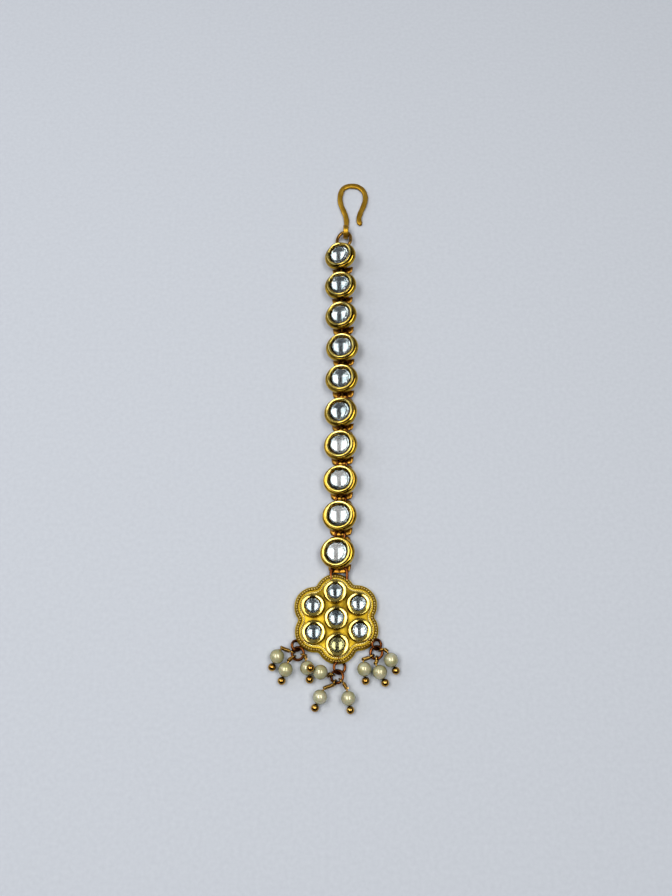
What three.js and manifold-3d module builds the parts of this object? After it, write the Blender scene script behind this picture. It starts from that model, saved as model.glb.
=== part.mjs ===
// A maang tikka lying on its back: hair hook, ten stone-set links, flower pendant and nine pearl drops.
// Millimetres and degrees. +Y runs along the chain to the hook, +X is to the right, +Z is up.
import * as THREE from 'three';
import { mergeVertices } from 'three/addons/utils/BufferGeometryUtils.js';
import Module from 'manifold-3d';

const wasm = await Module();
wasm.setup();

// Clearances between loose pieces
const looseGap = 0.16;
const wireGap = 0.21;

// Chain links: a drum with a raised collar, a stone and two wire eyes
const drumWidth = 9.5;
const drumLength = 8.8;
const drumHeight = 4.2;
const drumWall = 1.55;
const footDiameter = 4.6;
const footFlare = 0.35;
const edgeRound = 0.25;
const collarDiameter = 7.6;
const collarHeight = 0.85;
const collarWall = 0.38;
const stoneDiameter = 5.2;
const stoneHeight = 0.95;
const stoneSetback = 0.5;
const eyeWire = 0.5;
const eyeHole = 1.25;
const eyeReach = 3.65;
const eyeDrop = 1.2;
const linkSides = 12;

// Jump rings between the links
const linkRingDiameter = 3.3;
const linkRingWire = 0.62;

// Flower pendant
const petalCount = 6;
const petalReach = 11.8;
const petalRadius = 5.3;
const valleyRadius = 1.0;
const plateThickness = 2.0;
const borderInset = 0.12;
const borderWidth = 1.35;
const borderRise = 0.35;
const flowerTwist = 2.3;
const bezelRing = 6.95;
const bezelDiameter = 5.85;
const bezelHeight = 1.25;
const bezelWall = 0.42;
const flowerStoneDiameter = 3.95;
const flowerStoneHeight = 0.75;
const flowerStoneSetback = 0.3;

// Wire loops soldered to the pendant: one wide loop for the chain, one at each lower petal
const topLoopWidth = 5.1;
const topLoopReach = 1.6;
const topLoopWire = 0.72;
const petalLoopWire = 0.58;
const petalLoopRoll = -25;

// Drops: a jump ring at each lower petal carries three pearls on ball-ended pins
const dropRingDiameter = 3.8;
const dropRingWire = 0.6;
const dropRingRoll = 20;
const pearlDiameter = 3.8;
const ballDiameter = 2.25;
const pinWire = 0.45;
const pinLoopHole = 1.0;
const wrapDiameter = 1.0;
const wrapPitch = 0.5;

// Hair hook of flattened wire, and the oval jump ring that carries it
const hookRingWidth = 5.0;
const hookRingLength = 6.3;
const hookRingWire = 0.62;
const hookRingLean = 12;
const hookRingRollShare = 0.7;
const hookWireWidth = 1.6;
const hookWireThickness = 1.0;
const hookEyeHole = 2.2;
const hookEyeGapAngle = 20;
const hookSpan = 7.8;
const hookReach = 17.5;

// Route of the chain, from the link at the hook to the link at the flower: sideways place of the
// link in mm, lean of its face to the left in degrees, and how far the joint below it is pulled
// apart (1) or pushed together (-1).
const chainRoute = [
  { sway: 1.75, lean: 17, pull: -0.5 },
  { sway: 1.70, lean: 13, pull: -0.6 },
  { sway: 1.90, lean: 16, pull: 1.0 },
  { sway: 2.05, lean: 11, pull: -1.0 },
  { sway: 1.90, lean: 12, pull: 1.0 },
  { sway: 1.70, lean: 15, pull: -1.0 },
  { sway: 1.60, lean: 13, pull: 0.8 },
  { sway: 1.40, lean: 10, pull: 0.2 },
  { sway: 1.20, lean: 10, pull: 0.9 },
  { sway: 0.75, lean: 14, pull: 0.5 },
];

// Route of the hook's wire beyond its eye: shares of hookSpan sideways and of hookReach upwards
const hookRoute = [
  { across: 0.00, up: 0.06 },
  { across: 0.02, up: 0.16 },
  { across: 0.03, up: 0.28 },
  { across: -0.02, up: 0.40 },
  { across: -0.10, up: 0.50 },
  { across: -0.18, up: 0.60 },
  { across: -0.22, up: 0.72 },
  { across: -0.19, up: 0.84 },
  { across: -0.11, up: 0.93 },
  { across: 0.05, up: 0.985 },
  { across: 0.27, up: 1.0 },
  { across: 0.49, up: 0.98 },
  { across: 0.66, up: 0.92 },
  { across: 0.76, up: 0.83 },
  { across: 0.78, up: 0.72 },
  { across: 0.72, up: 0.60 },
  { across: 0.63, up: 0.50 },
  { across: 0.56, up: 0.41 },
  { across: 0.52, up: 0.32 },
  { across: 0.55, up: 0.23 },
  { across: 0.59, up: 0.19 },
];

// The jump rings of the drops: where each petal loop sits round the flower, its size, and the way
// the ring lies from it, as angles from +X
const dropRingTable = [
  { name: 'left', side: 212, loopDiameter: 3.3, heading: 281 },
  { name: 'middle', side: 271.6, loopDiameter: 3.9, heading: 255 },
  { name: 'right', side: 325, loopDiameter: 3.3, heading: 268 },
];

// The pearl drops. side: where the pin's loop sits on its ring. heading and reach: the way and the
// distance in pearl diameters from there to the pearl. ball: the way the pin points through the
// pearl. lift and ballLift: height of pearl and ball above the surface in pearl diameters, if any.
// against: the earlier pearl that a lifted one swings up to, with its ball over the top of it.
const dropTable = [
  { name: 'left_outer', ring: 'left', side: 162, heading: 198, reach: 1.09, ball: 244 },
  { name: 'left_inner', ring: 'left', side: 215, heading: 239, reach: 0.98, ball: 250 },
  { name: 'left_near', ring: 'left', side: 350, heading: 286, reach: 0.92, ball: 282 },
  {
    name: 'middle_high', ring: 'middle', side: 155, reach: 0.774,
    against: 'left_near', lift: 0.42, ballLift: 1.01,
  },
  { name: 'middle_left', ring: 'middle', side: 250, heading: 223, reach: 1.38, ball: 244 },
  { name: 'middle_right', ring: 'middle', side: 318, heading: 292, reach: 1.23, ball: 280 },
  { name: 'right_near', ring: 'right', side: 215, heading: 239, reach: 1.01, ball: 277 },
  { name: 'right_inner', ring: 'right', side: 277, heading: 280, reach: 0.91, ball: 298 },
  { name: 'right_outer', ring: 'right', side: 22, heading: 313, reach: 0.9, ball: 295 },
];

const goldPlate = new THREE.MeshStandardMaterial({ color: 0xd9a520, roughness: 0.32, metalness: 1 });
const hookGold = new THREE.MeshStandardMaterial({ color: 0xb8892a, roughness: 0.4, metalness: 1 });
const ringGold = new THREE.MeshStandardMaterial({ color: 0xb9722c, roughness: 0.3, metalness: 1 });
const clearGlass = new THREE.MeshStandardMaterial({ color: 0xd8e0de, roughness: 0.05, metalness: 0.2 });
const pearlNacre = new THREE.MeshStandardMaterial({ color: 0xe6e2cf, roughness: 0.28, metalness: 0 });

const tikka = new THREE.Group();

function radians(degrees) {
  return (degrees * Math.PI) / 180;
}

function piece(name, geometry, material, parent = tikka) {
  const mesh = new THREE.Mesh(geometry, material);
  mesh.name = name;
  parent.add(mesh);
  return mesh;
}

// A closed geometry as a manifold solid
function solid(geometry) {
  const bare = geometry.clone();
  bare.deleteAttribute('normal');
  bare.deleteAttribute('uv');
  const merged = mergeVertices(bare, 1e-4);
  const vertProperties = new Float32Array(merged.attributes.position.array);
  const triVerts = new Uint32Array(merged.index.array);
  return new wasm.Manifold(new wasm.Mesh({ numProp: 3, vertProperties, triVerts }));
}

function fused(solids) {
  return solids.reduce((body, next) => body.add(next));
}

function geometryOf(body) {
  const mesh = body.getMesh();
  const geometry = new THREE.BufferGeometry();
  geometry.setAttribute('position', new THREE.BufferAttribute(new Float32Array(mesh.vertProperties), 3));
  geometry.setIndex(new THREE.BufferAttribute(new Uint32Array(mesh.triVerts), 1));
  geometry.computeVertexNormals();
  return geometry;
}

// A turned piece about +Z from a profile of [radius, height] pairs, lowest on the axis first
function turned(profile, sides) {
  const points = profile.map(([radius, height]) => new THREE.Vector2(radius, height));
  return new THREE.LatheGeometry(points, sides).rotateX(Math.PI / 2);
}

// A closed wire ring that lies flat, given by its outer diameter
function wireRing(outerDiameter, wire, steps = 12, wireSides = 6) {
  return new THREE.TorusGeometry((outerDiameter - wire) / 2, wire / 2, wireSides, steps);
}

// The foot, underside and wall of a link's drum. Radii are those along the chain.
const eyeHeight = drumHeight - drumWall - eyeDrop;
const footRadius = footDiameter / 2;
const drumRadius = drumLength / 2;
const drumProfile = [
  [0, 0],
  [footRadius * 0.6, 0],
  [footRadius, footFlare],
  [footRadius, eyeHeight + eyeWire],
  [drumRadius - edgeRound, drumHeight - drumWall],
  [drumRadius, drumHeight - drumWall + edgeRound],
  [drumRadius, drumHeight - edgeRound],
  [drumRadius - edgeRound, drumHeight],
  [0, drumHeight],
];

const collarTop = drumHeight + collarHeight;
const facetAllowance = 1 / Math.cos(Math.PI / linkSides);
const pocketRadius = (stoneDiameter / 2 + looseGap) * facetAllowance;
const pocketLip = collarTop - stoneSetback;
const pocketFloor = pocketLip - stoneHeight - looseGap;
const eyeOuter = eyeHole + 2 * eyeWire;

function linkSetting() {
  const drum = turned(drumProfile, linkSides);
  drum.scale(drumWidth / drumLength, 1, 1);
  const collar = turned([
    [0, drumHeight - edgeRound * 2],
    [collarDiameter / 2, drumHeight - edgeRound * 2],
    [collarDiameter / 2, collarTop - collarWall / 4],
    [collarDiameter / 2 - collarWall / 4, collarTop],
    [0, collarTop],
  ], linkSides);
  const pocket = turned([
    [0, pocketFloor],
    [pocketRadius, pocketFloor],
    [pocketRadius, pocketLip],
    [collarDiameter / 2 - collarWall, collarTop],
    [collarDiameter / 2 - collarWall, collarTop + 1],
    [0, collarTop + 1],
  ], linkSides);
  const eyes = [-1, 1].map((end) => {
    const eye = wireRing(eyeOuter, eyeWire, 8, 5).rotateY(Math.PI / 2);
    return solid(eye.translate(0, end * eyeReach, eyeHeight));
  });
  return geometryOf(fused([solid(drum), solid(collar), ...eyes]).subtract(solid(pocket)));
}

// A flat-backed stone: girdle, ten crown facets and a table
function cutStone(diameter, height) {
  const radius = diameter / 2;
  return turned([
    [0, 0],
    [radius * 0.88, 0],
    [radius, height * 0.35],
    [radius * 0.62, height],
    [0, height],
  ], 10);
}

// Height of a leaning link's eyes when its foot or drum edge touches the surface
function seatHeight(lean) {
  const across = drumWidth / drumLength;
  return Math.max(...drumProfile.map(([radius, height]) => (
    radius * across * Math.sin(lean) - (height - eyeHeight) * Math.cos(lean)
  )));
}

const bezelTop = plateThickness + bezelHeight;
const linkRingRadius = (linkRingDiameter - linkRingWire) / 2;
const jointPlay = (eyeHole - linkRingWire) / 2 - wireGap;
const topLoopPlace = petalReach + topLoopReach;
const topLoopHeight = seatHeight(radians(chainRoute.at(-1).lean));

const settingGeometry = linkSetting();
const stoneGeometry = cutStone(stoneDiameter, stoneHeight);
const linkRingGeometry = wireRing(linkRingDiameter, linkRingWire);

// Place the links from the flower upwards, each one ring's reach beyond the last
const linkPlaces = [];
let alongChain = topLoopPlace + eyeReach;
for (let index = chainRoute.length - 1; index >= 0; index -= 1) {
  const { sway, lean, pull } = chainRoute[index];
  const nearest = index === chainRoute.length - 1;
  alongChain += (nearest ? 1 : 2) * pull * jointPlay;
  linkPlaces[index] = { sway, lean: radians(lean), along: alongChain };
  alongChain += 2 * (eyeReach + linkRingRadius);
}

linkPlaces.forEach(({ sway, lean, along }, index) => {
  const link = new THREE.Group();
  link.position.set(sway, along, seatHeight(lean));
  link.rotation.y = -lean;
  tikka.add(link);
  const setting = piece(`link_setting_${index + 1}`, settingGeometry, goldPlate, link);
  setting.position.z = -eyeHeight;
  const stone = piece(`link_stone_${index + 1}`, stoneGeometry, clearGlass, link);
  stone.position.z = pocketFloor + looseGap - eyeHeight;
});

linkPlaces.slice(1).forEach((below, index) => {
  const above = linkPlaces[index];
  const ring = piece(`link_ring_${index + 1}`, linkRingGeometry, ringGold);
  ring.position.set(
    (above.sway + below.sway) / 2,
    (above.along + below.along) / 2,
    (seatHeight(above.lean) + seatHeight(below.lean)) / 2,
  );
  ring.rotation.y = -(above.lean + below.lean) / 2;
});

// Outline of the flower, drawn in by an inset: six petal arcs joined by hollow valley arcs
const petalCentre = petalReach - petalRadius;
const petalStep = (2 * Math.PI) / petalCount;
const valleyCentre = petalCentre * Math.cos(petalStep / 2)
  + Math.sqrt((petalRadius + valleyRadius) ** 2 - (petalCentre * Math.sin(petalStep / 2)) ** 2);
const petalSweep = Math.atan2(
  valleyCentre * Math.sin(petalStep / 2),
  valleyCentre * Math.cos(petalStep / 2) - petalCentre,
);

function flowerOutline(inset) {
  const points = [];
  const petalSegments = 8;
  const valleySegments = 3;
  for (let petal = 0; petal < petalCount; petal += 1) {
    const axis = Math.PI / 2 + petal * petalStep;
    const centre = new THREE.Vector2(Math.cos(axis), Math.sin(axis)).multiplyScalar(petalCentre);
    for (let i = 0; i <= petalSegments; i += 1) {
      const angle = axis + petalSweep * ((2 * i) / petalSegments - 1);
      const radius = petalRadius - inset;
      points.push(new THREE.Vector2(
        centre.x + radius * Math.cos(angle),
        centre.y + radius * Math.sin(angle),
      ));
    }
    const between = axis + petalStep / 2;
    const valley = new THREE.Vector2(Math.cos(between), Math.sin(between)).multiplyScalar(valleyCentre);
    const halfTurn = petalStep / 2 - petalSweep;
    for (let i = 1; i < valleySegments; i += 1) {
      const angle = between + Math.PI - halfTurn * (1 - (2 * i) / valleySegments);
      const radius = valleyRadius + inset;
      points.push(new THREE.Vector2(
        valley.x + radius * Math.cos(angle),
        valley.y + radius * Math.sin(angle),
      ));
    }
  }
  return points;
}

function slab(outline, hole, bottom, top) {
  const shape = new THREE.Shape(outline);
  if (hole) {
    shape.holes.push(new THREE.Path(hole));
  }
  const geometry = new THREE.ExtrudeGeometry(shape, { depth: top - bottom, bevelEnabled: false });
  return geometry.translate(0, 0, bottom);
}

const bezelPocketRadius = (flowerStoneDiameter / 2 + looseGap) * facetAllowance;
const bezelLip = bezelTop - flowerStoneSetback;
const bezelFloor = bezelLip - flowerStoneHeight - looseGap;

function bezel(place) {
  const radius = bezelDiameter / 2;
  const cup = turned([
    [0, plateThickness / 2],
    [radius, plateThickness / 2],
    [radius, bezelTop - bezelWall / 4],
    [radius - bezelWall / 4, bezelTop],
    [radius - bezelWall, bezelTop],
    [bezelPocketRadius, bezelLip],
    [bezelPocketRadius, bezelFloor],
    [0, bezelFloor],
  ], linkSides);
  return solid(cup.translate(place.x, place.y, 0));
}

const bezelPlaces = [new THREE.Vector2(0, 0)];
for (let petal = 0; petal < petalCount; petal += 1) {
  const angle = Math.PI / 2 - petal * petalStep;
  bezelPlaces.push(new THREE.Vector2(Math.cos(angle), Math.sin(angle)).multiplyScalar(bezelRing));
}

// A loop in the pendant's rim that reaches out from it. It lies level along the way its drop ring
// hangs and leans across it, with a puddle of solder under its root.
const dropRingRadius = (dropRingDiameter - dropRingWire) / 2;
const dropRingHeight = pinLoopHole / 2 + pinWire + dropRingRadius * Math.sin(radians(dropRingRoll));

function petalLoopPlace({ side, loopDiameter }) {
  const place = petalReach + (loopDiameter - petalLoopWire) / 4;
  return new THREE.Vector3(Math.cos(radians(side)), Math.sin(radians(side)), 0).multiplyScalar(place);
}

function petalLoop(entry) {
  const place = petalLoopPlace(entry);
  const loop = wireRing(entry.loopDiameter, petalLoopWire);
  loop.rotateX(radians(petalLoopRoll));
  loop.rotateZ(radians(entry.heading - flowerTwist));
  loop.translate(place.x, place.y, dropRingHeight);
  const root = place.setLength(petalReach - petalLoopWire * 2);
  const puddle = turned([
    [0, 0],
    [petalLoopWire * 1.2, 0],
    [petalLoopWire * 1.2, plateThickness],
    [petalLoopWire / 2, Math.max(plateThickness, dropRingHeight) + petalLoopWire / 2],
    [0, Math.max(plateThickness, dropRingHeight) + petalLoopWire / 2],
  ], 10);
  return solid(loop).add(solid(puddle.translate(root.x, root.y, 0)));
}

// The wide loop at the top petal: a bent wire whose legs run into the plate's rim
function topLoop() {
  const half = (topLoopWidth - topLoopWire) / 2;
  const corner = Math.min(half, topLoopReach) * 0.6;
  const root = petalReach - petalRadius / 3;
  const corners = [
    [-half, root], [-half, topLoopPlace - corner], [-half + corner * 0.3, topLoopPlace - corner * 0.3],
    [-half + corner, topLoopPlace], [half - corner, topLoopPlace],
    [half - corner * 0.3, topLoopPlace - corner * 0.3], [half, topLoopPlace - corner], [half, root],
  ];
  const sway = chainRoute.at(-1).sway;
  const path = corners.map(([x, y]) => new THREE.Vector3(x + sway, y, topLoopHeight));
  return wireAlong(path, topLoopWire, topLoopWire);
}

// Flattened wire with its broad side kept level, and a cross-section at each point given
function wireAlong(points, width, thickness, wireSides = 8) {
  const path = new THREE.CatmullRomCurve3(points, false, 'centripetal');
  path.getPointAt = path.getPoint;
  path.getTangentAt = path.getTangent;
  const section = new THREE.Shape();
  for (let i = 0; i < wireSides; i += 1) {
    const angle = (2 * Math.PI * (i + 0.5)) / wireSides;
    const x = (Math.cos(angle) * width) / 2;
    const y = (Math.sin(angle) * thickness) / 2;
    if (i === 0) {
      section.moveTo(x, y);
    } else {
      section.lineTo(x, y);
    }
  }
  section.closePath();
  return new THREE.ExtrudeGeometry(section, { steps: points.length - 1, extrudePath: path });
}

const flower = new THREE.Group();
flower.rotation.z = radians(flowerTwist);
tikka.add(flower);

function flowerPendant() {
  const plate = slab(flowerOutline(0), null, 0, plateThickness);
  const borderOuter = flowerOutline(borderInset);
  const borderInner = flowerOutline(borderInset + borderWidth);
  const border = slab(borderOuter, borderInner, plateThickness / 2, plateThickness + borderRise);
  const lowerLoops = dropRingTable.map(petalLoop);
  const chainLoop = solid(topLoop()).rotate([0, 0, -flowerTwist]);
  const bezels = bezelPlaces.map(bezel);
  return geometryOf(fused([solid(plate), solid(border), ...bezels, ...lowerLoops, chainLoop]));
}

piece('flower_pendant', flowerPendant(), goldPlate, flower);

const flowerStoneGeometry = cutStone(flowerStoneDiameter, flowerStoneHeight);
bezelPlaces.forEach((place, index) => {
  const name = index === 0 ? 'flower_stone_centre' : `flower_stone_${index}`;
  const stone = piece(name, flowerStoneGeometry, clearGlass, flower);
  stone.position.set(place.x, place.y, bezelFloor + looseGap);
});

// The jump rings of the drops, each hooked through its petal's loop
const dropRingFrames = new Map();

dropRingTable.forEach((entry) => {
  const loopRadius = (entry.loopDiameter - petalLoopWire) / 2;
  const wires = (petalLoopWire + dropRingWire) / 2;
  const hangDistance = loopRadius + dropRingRadius - wires - looseGap - wireGap / 2;
  const along = radians(entry.heading);
  const centre = petalLoopPlace(entry).applyAxisAngle(new THREE.Vector3(0, 0, 1), radians(flowerTwist));
  centre.x += hangDistance * Math.cos(along);
  centre.y += hangDistance * Math.sin(along);
  centre.z = dropRingHeight;
  const turn = new THREE.Quaternion().setFromAxisAngle(new THREE.Vector3(0, 0, 1), along)
    .multiply(new THREE.Quaternion().setFromAxisAngle(new THREE.Vector3(1, 0, 0), radians(dropRingRoll)));
  const ring = piece(`drop_ring_${entry.name}`, wireRing(dropRingDiameter, dropRingWire), ringGold);
  ring.position.copy(centre);
  ring.quaternion.copy(turn);
  dropRingFrames.set(entry.name, { centre, turn, along });
});

// A pearl drilled along its axis for the pin
const pearlRadius = pearlDiameter / 2;
const boreRadius = pinWire / 2 + looseGap;
const ballRadius = ballDiameter / 2;
const ballReach = pearlRadius + ballRadius + looseGap / 2;

function drilledPearl() {
  const mouth = Math.asin(boreRadius / pearlRadius);
  const arcSteps = 7;
  const profile = [];
  for (let i = 0; i <= arcSteps; i += 1) {
    const angle = Math.PI - mouth - ((Math.PI - 2 * mouth) * i) / arcSteps;
    profile.push([pearlRadius * Math.sin(angle), pearlRadius * Math.cos(angle)]);
  }
  profile.push(profile[0]);
  return turned(profile, 12);
}

// Turn a geometry made along +Z so that it runs from one place towards another
function aimed(geometry, from, direction) {
  const turn = new THREE.Quaternion().setFromUnitVectors(new THREE.Vector3(0, 0, 1), direction);
  return geometry.applyQuaternion(turn).translate(from.x, from.y, from.z);
}

// A pin through the pearl with a ball at one end; past the pearl it bends, is wrapped and ends in a
// loop whose plane the ring's wire crosses squarely
function headpin(hang, pearl, pointing, tangent) {
  const pinRadius = pinWire / 2;
  const wrapRadius = wrapDiameter / 2;
  const loopRadius = pinLoopHole / 2 + pinRadius;
  const bendPlace = pearl.clone().addScaledVector(pointing, -(pearlRadius + looseGap + wrapRadius * 0.7));
  const ballShoulder = Math.sqrt(ballRadius ** 2 - pinRadius ** 2);
  const pinLength = pearl.distanceTo(bendPlace) + ballReach;
  const pin = turned([
    [0, -ballRadius],
    [ballRadius * 0.7, -ballRadius * 0.7],
    [ballRadius, 0],
    [ballRadius * 0.7, ballRadius * 0.7],
    [pinRadius, ballShoulder],
    [pinRadius, pinLength],
    [0, pinLength + pinRadius],
  ], 8);
  aimed(pin, pearl.clone().addScaledVector(pointing, ballReach), pointing.clone().negate());

  const toBend = bendPlace.clone().sub(hang);
  const inPlane = toBend.clone().addScaledVector(tangent, -toBend.dot(tangent)).normalize();
  const rim = inPlane.multiplyScalar(loopRadius).add(hang);
  const neck = rim.clone().sub(bendPlace);
  const neckLength = neck.length();
  const wrapLength = Math.max(0, neckLength - (wrapRadius - pinRadius));
  const turns = Math.max(1, Math.round(wrapLength / wrapPitch));
  const profile = [[0, -pinRadius], [pinRadius, -pinRadius / 2]];
  for (let i = 0; i < turns; i += 1) {
    profile.push([wrapRadius, (wrapLength * (i + 0.5)) / turns]);
    profile.push([i === turns - 1 ? pinRadius : wrapRadius * 0.75, (wrapLength * (i + 1)) / turns]);
  }
  profile.push([0, neckLength]);
  const wrapped = aimed(turned(profile, 8), bendPlace, neck.normalize());
  const loop = aimed(wireRing(pinLoopHole + 2 * pinWire, pinWire, 9, 5), hang, tangent);
  return geometryOf(fused([solid(pin), solid(wrapped), solid(loop)]));
}

// The way from a pin's loop to a pearl that swings about it until it touches another pearl
function headingAgainst(hang, pinReach, height, other) {
  const apart = Math.hypot(other.x - hang.x, other.y - hang.y);
  const between = Math.sqrt((pearlDiameter + looseGap) ** 2 - (height - other.z) ** 2);
  const share = (pinReach ** 2 + apart ** 2 - between ** 2) / (2 * pinReach * apart);
  return Math.atan2(other.y - hang.y, other.x - hang.x) + Math.acos(Math.min(1, share));
}

const pearlGeometry = drilledPearl();
const pearlPlaces = new Map();

dropTable.forEach((entry) => {
  const { name, ring, side, heading, reach, ball, lift = 0, ballLift = 0, against } = entry;
  const { centre, turn, along } = dropRingFrames.get(ring);
  const around = radians(side) - along;
  const hang = new THREE.Vector3(Math.cos(around), Math.sin(around), 0).applyQuaternion(turn)
    .multiplyScalar(dropRingRadius).add(centre);
  const tangent = new THREE.Vector3(-Math.sin(around), Math.cos(around), 0).applyQuaternion(turn);
  const height = pearlRadius + lift * pearlDiameter;
  const pinReach = reach * pearlDiameter;
  const other = pearlPlaces.get(against);
  const way = other ? headingAgainst(hang, pinReach, height, other) : radians(heading);
  const pearlPlace = new THREE.Vector3(
    hang.x + pinReach * Math.cos(way),
    hang.y + pinReach * Math.sin(way),
    height,
  );
  pearlPlaces.set(name, pearlPlace);
  const ballWay = other ? Math.atan2(other.y - pearlPlace.y, other.x - pearlPlace.x) : radians(ball);
  const rise = (ballRadius + ballLift * pearlDiameter - height) / ballReach;
  const level = Math.sqrt(1 - rise ** 2);
  const pointing = new THREE.Vector3(Math.cos(ballWay) * level, Math.sin(ballWay) * level, rise);
  piece(`headpin_${name}`, headpin(hang, pearlPlace, pointing, tangent), ringGold);
  const pearl = piece(`pearl_${name}`, pearlGeometry, pearlNacre);
  pearl.position.copy(pearlPlace);
  pearl.quaternion.setFromUnitVectors(new THREE.Vector3(0, 0, 1), pointing);
});

// The hook's jump ring, from the first link's eye to the hook's eye
const firstLink = linkPlaces[0];
const firstEye = firstLink.along + eyeReach;
const firstEyeHeight = seatHeight(firstLink.lean);
const hookEyeRadius = (hookEyeHole + hookWireThickness) / 2;
const hookEyeHeight = hookEyeRadius + hookWireThickness / 2;
const hookRingHalf = (hookRingLength - hookRingWire) / 2;
const hookRing = wireRing(hookRingWidth, hookRingWire);
hookRing.scale(1, hookRingHalf / ((hookRingWidth - hookRingWire) / 2), 1);
const hookRingAcross = hookRingHalf * Math.sin(radians(hookRingLean));
const hookRingAlong = hookRingHalf * Math.cos(radians(hookRingLean));
hookRing.rotateY(-firstLink.lean * hookRingRollShare);
hookRing.rotateX(Math.atan2(hookEyeHeight - firstEyeHeight, 2 * hookRingHalf));
hookRing.rotateZ(-radians(hookRingLean));
piece('hook_ring', hookRing, ringGold).position.set(
  firstLink.sway + hookRingAcross,
  firstEye + hookRingAlong,
  (firstEyeHeight + hookEyeHeight) / 2,
);

// The hook: a rolled eye that stands upright, then the open bow that lies flat
function hairHook() {
  const points = [];
  const eyeSteps = 10;
  for (let i = 0; i <= eyeSteps; i += 1) {
    const angle = radians(-hookEyeGapAngle + ((270 + hookEyeGapAngle) * i) / eyeSteps);
    points.push(new THREE.Vector3(0, hookEyeRadius * Math.cos(angle), hookEyeRadius * Math.sin(angle)));
  }
  hookRoute.forEach(({ across, up }) => {
    points.push(new THREE.Vector3(across * hookSpan, up * hookReach, -hookEyeRadius));
  });
  return wireAlong(points, hookWireWidth, hookWireThickness);
}

const hook = piece('hair_hook', hairHook(), hookGold);
hook.position.set(firstLink.sway + 2 * hookRingAcross, firstEye + 2 * hookRingAlong, hookEyeHeight);

// Stand the whole piece on z = 0 with its box centred over the origin
tikka.updateMatrixWorld(true);
const box = new THREE.Box3().setFromObject(tikka, true);
const middle = box.getCenter(new THREE.Vector3());
tikka.position.set(-middle.x, -middle.y, -box.min.z);
tikka.updateMatrixWorld(true);

export default tikka;
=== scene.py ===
import math

import bpy
import numpy as np
from mathutils import Matrix, Vector


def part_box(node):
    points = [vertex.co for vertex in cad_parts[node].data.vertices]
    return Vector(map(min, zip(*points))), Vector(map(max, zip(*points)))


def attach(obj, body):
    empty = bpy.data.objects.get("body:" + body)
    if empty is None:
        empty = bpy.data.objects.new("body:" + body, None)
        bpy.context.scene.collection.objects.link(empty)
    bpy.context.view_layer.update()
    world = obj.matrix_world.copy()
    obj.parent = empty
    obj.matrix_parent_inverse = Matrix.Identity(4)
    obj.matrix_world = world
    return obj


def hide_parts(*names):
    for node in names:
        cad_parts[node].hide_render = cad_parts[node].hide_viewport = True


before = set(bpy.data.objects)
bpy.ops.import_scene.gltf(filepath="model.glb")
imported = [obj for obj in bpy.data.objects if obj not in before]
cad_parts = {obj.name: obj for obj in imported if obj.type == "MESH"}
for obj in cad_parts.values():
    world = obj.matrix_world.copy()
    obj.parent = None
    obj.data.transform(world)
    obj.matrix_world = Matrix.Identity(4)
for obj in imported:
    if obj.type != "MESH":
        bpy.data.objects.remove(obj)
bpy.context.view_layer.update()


# Camera, table and light
# The ornament lies on a pale table. The camera looks down on it from the pendant's end, 19
# degrees off the vertical. Two windows stand high on either side of the camera, and a broad dim
# one behind the hook throws the soft shadows.
flower_low, flower_high = (Vector(corner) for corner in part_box("flower_stone_centre"))
flower_middle = flower_low.lerp(flower_high, 0.5)
view_lean, view_distance = math.radians(19), 0.258
aim_aside, aim_along = -0.00005, 0.0478
view_target = Vector((flower_middle.x + aim_aside, flower_middle.y + aim_along, 0))
view_away = Vector((0, -math.sin(view_lean), math.cos(view_lean)))
camera = bpy.data.objects.new("camera", bpy.data.cameras.new("camera"))
bpy.context.scene.collection.objects.link(camera)
camera.location = view_target + view_away * view_distance
camera.rotation_euler = (view_lean, 0, 0)
camera.data.lens = 36.9
camera.data.clip_start = 0.005
bpy.context.scene.camera = camera
bpy.context.scene.view_settings.view_transform = "Standard"


def rgb(hex_colour):
    """Linear colour of an sRGB hex value."""
    channels = [int(hex_colour[i:i + 2], 16) / 255 for i in (1, 3, 5)]
    return [c / 12.92 if c <= 0.04045 else ((c + 0.055) / 1.055) ** 2.4 for c in channels] + [1]


def node(tree, kind, settings=None, **links):
    """Add a shader node with its settings; each link feeds the input that its name says."""
    made = tree.nodes.new(kind)
    for key, value in (settings or {}).items():
        if hasattr(made, key):
            setattr(made, key, value)
        else:
            made.inputs[key].default_value = value
    for key, source in links.items():
        tree.links.new(source, made.inputs[key.replace("_", " ")])
    return made


def material(name):
    """An empty material with its surface shader and its object coordinates in metres."""
    made = bpy.data.materials.new(name)
    made.use_nodes = True
    tree = made.node_tree
    tree.nodes.clear()
    shader = node(tree, "ShaderNodeBsdfPrincipled")
    node(tree, "ShaderNodeOutputMaterial", Surface=shader.outputs[0])
    place = node(tree, "ShaderNodeTexCoord").outputs["Object"]
    return made, tree, shader, place


# Matt card: one even pale grey with a faint cool tint, so that the gold carries all the colour.
pale_card, tree, shader, place = material("pale_card")
shader.inputs["Roughness"].default_value = 0.85
fleck = node(tree, "ShaderNodeTexNoise", {"Scale": 900.0, "Detail": 3.0}, Vector=place)
tint = node(tree, "ShaderNodeValToRGB", Fac=fleck.outputs["Fac"])
tint.color_ramp.elements[0].color = rgb("#cad1dc")
tint.color_ramp.elements[1].color = rgb("#d9e0ea")
tree.links.new(tint.outputs["Color"], shader.inputs["Base Color"])

floor_mesh = bpy.data.meshes.new("table_top")
floor_half = 1.2
floor_corners = [(x * floor_half, y * floor_half, 0) for x, y in ((-1, -1), (1, -1), (1, 1), (-1, 1))]
floor_mesh.from_pydata(floor_corners, [], [(0, 1, 2, 3)])
floor_mesh.materials.append(pale_card)
table_top = bpy.data.objects.new("table_top", floor_mesh)
bpy.context.scene.collection.objects.link(table_top)

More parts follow.
